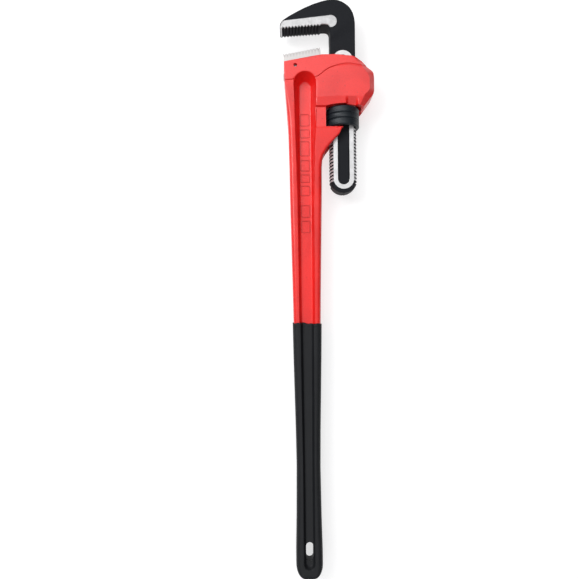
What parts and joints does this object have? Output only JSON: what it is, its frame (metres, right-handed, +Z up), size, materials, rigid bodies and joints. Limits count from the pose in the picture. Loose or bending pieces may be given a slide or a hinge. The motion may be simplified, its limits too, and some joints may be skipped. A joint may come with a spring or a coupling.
{
  "type": "pipe wrench",
  "caption": "Long straight pipe wrench with red cast handle, black dipped grip, toothed hook jaw on a threaded flat shank, ring nut and toothed heel jaw.",
  "frame": {"origin": "centre of the overall box in plan, on the plane that the wrench lies on", "axes": "+Y along the handle towards the jaws, +X from the handle towards the hook jaw's shank, +Z up out of the face the wrench lies with"},
  "size_m": [0.195, 1.218, 0.073],
  "materials": {
    "red_casting": "satin red enamel over a sand casting",
    "grip_vinyl": "dipped black vinyl",
    "jaw_steel": "ground",
    "forged_black": "black satin enamel with ground lands",
    "nut_black": "black oxide, knurled",
    "spring_steel": "dark spring steel"
  },
  "bodies": {
    "handle": {"handle_casting": "red_casting", "grip_sleeve": "grip_vinyl", "heel_jaw": "jaw_steel", "heel_jaw_pin": "spring_steel", "coil_spring": "spring_steel"},
    "jaw_rocker": {"flat_spring": "spring_steel", "spring_rivet": "spring_steel"},
    "nut": {"adjusting_nut": "nut_black"},
    "hook": {"hook_jaw": "forged_black"}
  },
  "joints": [
    {"name": "jaw_tilt", "type": "hinge", "parent": "handle", "child": "jaw_rocker", "pos_m": [0.0335, 0.3609, 0.0365], "axis": [0, 0, -1], "range_deg": [0, 3], "stiffness_Nm_per_rad": 100, "springref_deg": -3.44, "deforming": ["coil_spring"]},
    {"name": "nut_spin", "type": "hinge", "parent": "jaw_rocker", "child": "nut", "pos_m": [0.0335, 0.3609, 0.0365], "axis": [0, 1, 0], "range_deg": [-5142, 2160]},
    {"name": "jaw_slide", "type": "slide", "parent": "jaw_rocker", "child": "hook", "axis": [0, 1, 0], "range_m": [-0.0421, 0.1001]}
  ],
  "couplings": [
    {"joint": "jaw_slide", "follows": "nut_spin", "m_per_rad": -0.0011141}
  ]
}
